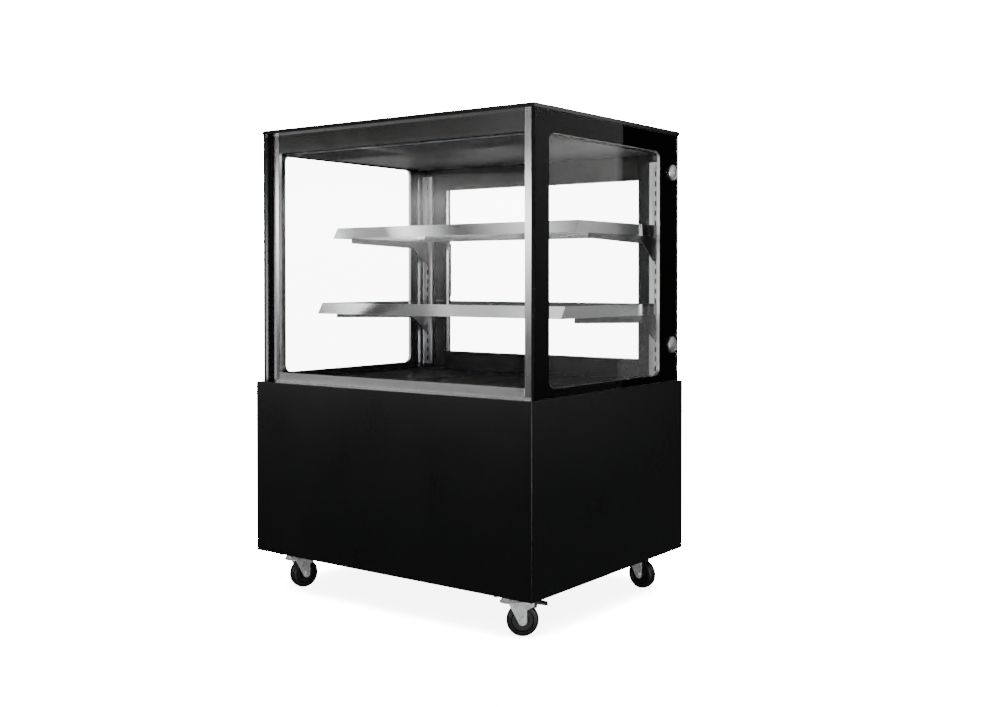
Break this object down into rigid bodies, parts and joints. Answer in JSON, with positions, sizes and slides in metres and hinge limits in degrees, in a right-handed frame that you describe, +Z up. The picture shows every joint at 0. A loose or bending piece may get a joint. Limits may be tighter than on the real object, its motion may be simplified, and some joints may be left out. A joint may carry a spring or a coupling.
{
  "type": "cake display case",
  "caption": "Square glass refrigerated cake display case on casters, with a black base, lit shelves on slotted standards, sliding rear doors and a louvred machine bay.",
  "frame": {"origin": "on the floor under the middle of the overall box, casters included", "axes": "+X to the right seen from the front, +Y from the front glass to the rear doors, +Z up"},
  "size_m": [0.9, 0.7, 1.214],
  "materials": {
    "black_sheet": "satin",
    "black_board": "gloss",
    "black_trim": "satin",
    "bright_trim": "brushed",
    "steel_sheet": "brushed",
    "deck_paint": "satin",
    "galvanised": "matte",
    "liner": "matte",
    "clear_glass": "polished",
    "border_black": "satin",
    "ceiling_grey": "satin",
    "lamp": "frosted",
    "chrome": "polished",
    "fins": "matte",
    "copper": "satin",
    "black_plastic": "matte",
    "rubber": "matte",
    "wheel_rubber": "matte",
    "zinc": "bright",
    "compressor_black": "gloss"
  },
  "bodies": {
    "case": {"base_frame": "galvanised", "base_front_panel": "black_sheet", "base_left_panel": "black_sheet", "base_right_panel": "black_sheet", "floor_pan": "galvanised", "rear_panel": "black_sheet", "louvre_panel": "black_sheet", "left_outer_pane": "clear_glass", "right_outer_pane": "clear_glass", "front_outer_pane": "clear_glass", "inner_panes": "clear_glass", "pane_borders": "border_black", "glass_caps": "chrome", "front_trim": "bright_trim", "front_fascia": "black_trim", "top_plate": "black_board", "ceiling_panel": "ceiling_grey", "led_lamps": "lamp", "rear_frame": "black_trim", "door_tracks": "black_plastic", "shelf_standards": "steel_sheet", "shelf_brackets": "steel_sheet", "upper_shelf_frame": "steel_sheet", "upper_shelf_glass": "clear_glass", "lower_shelf_frame": "steel_sheet", "lower_shelf_glass": "clear_glass", "insulated_well": "liner", "deck_plate": "deck_paint", "evaporator_coil": "fins", "evaporator_bulkhead": "galvanised", "condenser_coil": "fins", "condenser_shroud": "galvanised", "compressor": "compressor_black", "compressor_grommets": "rubber", "condensate_tray": "black_plastic", "refrigerant_lines": "copper", "temperature_controller": "black_plastic", "switch_housings": "black_plastic", "power_inlet": "black_plastic", "caster_plates": "zinc"},
    "left_door": {"left_door_frame": "bright_trim", "left_door_glass": "clear_glass"},
    "right_door": {"right_door_frame": "bright_trim", "right_door_glass": "clear_glass"},
    "evaporator_fan": {"evaporator_fan": "black_plastic"},
    "condenser_fan": {"condenser_fan": "black_plastic"},
    "light_switch": {"light_switch": "black_plastic"},
    "power_switch": {"power_switch": "black_plastic"},
    "down_key": {"down_key": "black_plastic"},
    "up_key": {"up_key": "black_plastic"},
    "fork_front_left": {"fork_front_left": "zinc"},
    "wheel_front_left": {"wheel_front_left": "wheel_rubber"},
    "fork_front_right": {"fork_front_right": "zinc"},
    "wheel_front_right": {"wheel_front_right": "wheel_rubber"},
    "fork_rear_left": {"fork_rear_left": "zinc"},
    "wheel_rear_left": {"wheel_rear_left": "wheel_rubber"},
    "fork_rear_right": {"fork_rear_right": "zinc"},
    "wheel_rear_right": {"wheel_rear_right": "wheel_rubber"},
    "brake_front_left": {"brake_front_left": "black_plastic"},
    "brake_front_right": {"brake_front_right": "black_plastic"}
  },
  "joints": [
    {"name": "left_door_slide", "type": "slide", "parent": "case", "child": "left_door", "axis": [1, 0, 0], "range_m": [0, 0.3]},
    {"name": "right_door_slide", "type": "slide", "parent": "case", "child": "right_door", "axis": [1, 0, 0], "range_m": [-0.3, 0]},
    {"name": "evaporator_fan_spin", "type": "hinge", "parent": "case", "child": "evaporator_fan", "pos_m": [0, 0.031, 0.473], "axis": [0, 1, 0], "continuous": true},
    {"name": "condenser_fan_spin", "type": "hinge", "parent": "case", "child": "condenser_fan", "pos_m": [-0.18, 0.2577, 0.2285], "axis": [0, 1, 0], "continuous": true},
    {"name": "light_switch_rock", "type": "hinge", "parent": "case", "child": "light_switch", "pos_m": [0.298, 0.3474, 0.225], "axis": [1, 0, 0], "range_deg": [-14, 0]},
    {"name": "power_switch_rock", "type": "hinge", "parent": "case", "child": "power_switch", "pos_m": [0.342, 0.3474, 0.225], "axis": [1, 0, 0], "range_deg": [-14, 0]},
    {"name": "down_key_press", "type": "slide", "parent": "case", "child": "down_key", "axis": [0, -1, 0], "range_m": [0, 0.0008], "stiffness_N_per_m": 900},
    {"name": "up_key_press", "type": "slide", "parent": "case", "child": "up_key", "axis": [0, -1, 0], "range_m": [0, 0.0008], "stiffness_N_per_m": 900},
    {"name": "swivel_front_left", "type": "hinge", "parent": "case", "child": "fork_front_left", "pos_m": [-0.356, -0.306, 0.085], "axis": [0, 0, 1], "continuous": true},
    {"name": "roll_front_left", "type": "hinge", "parent": "fork_front_left", "child": "wheel_front_left", "pos_m": [-0.34824, -0.27702, 0.0375], "axis": [-0.9659, 0.2588, 0], "continuous": true},
    {"name": "pedal_front_left", "type": "hinge", "parent": "fork_front_left", "child": "brake_front_left", "pos_m": [-0.34254, -0.25577, 0.076], "axis": [-0.9659, 0.2588, 0], "range_deg": [0, 10]},
    {"name": "swivel_front_right", "type": "hinge", "parent": "case", "child": "fork_front_right", "pos_m": [0.356, -0.306, 0.085], "axis": [0, 0, 1], "continuous": true},
    {"name": "roll_front_right", "type": "hinge", "parent": "fork_front_right", "child": "wheel_front_right", "pos_m": [0.38027, -0.28837, 0.0375], "axis": [-0.5878, 0.809, 0], "continuous": true},
    {"name": "pedal_front_right", "type": "hinge", "parent": "fork_front_right", "child": "brake_front_right", "pos_m": [0.39807, -0.27543, 0.076], "axis": [-0.5878, 0.809, 0], "range_deg": [0, 10]},
    {"name": "swivel_rear_left", "type": "hinge", "parent": "case", "child": "fork_rear_left", "pos_m": [-0.356, 0.25, 0.085], "axis": [0, 0, 1], "continuous": true},
    {"name": "roll_rear_left", "type": "hinge", "parent": "fork_rear_left", "child": "wheel_rear_left", "pos_m": [-0.38382, 0.26124, 0.0375], "axis": [-0.3746, -0.9272, 0], "continuous": true},
    {"name": "swivel_rear_right", "type": "hinge", "parent": "case", "child": "fork_rear_right", "pos_m": [0.356, 0.25, 0.085], "axis": [0, 0, 1], "continuous": true},
    {"name": "roll_rear_right", "type": "hinge", "parent": "fork_rear_right", "child": "wheel_rear_right", "pos_m": [0.38584, 0.24686, 0.0375], "axis": [0.1045, 0.9945, 0], "continuous": true}
  ]
}
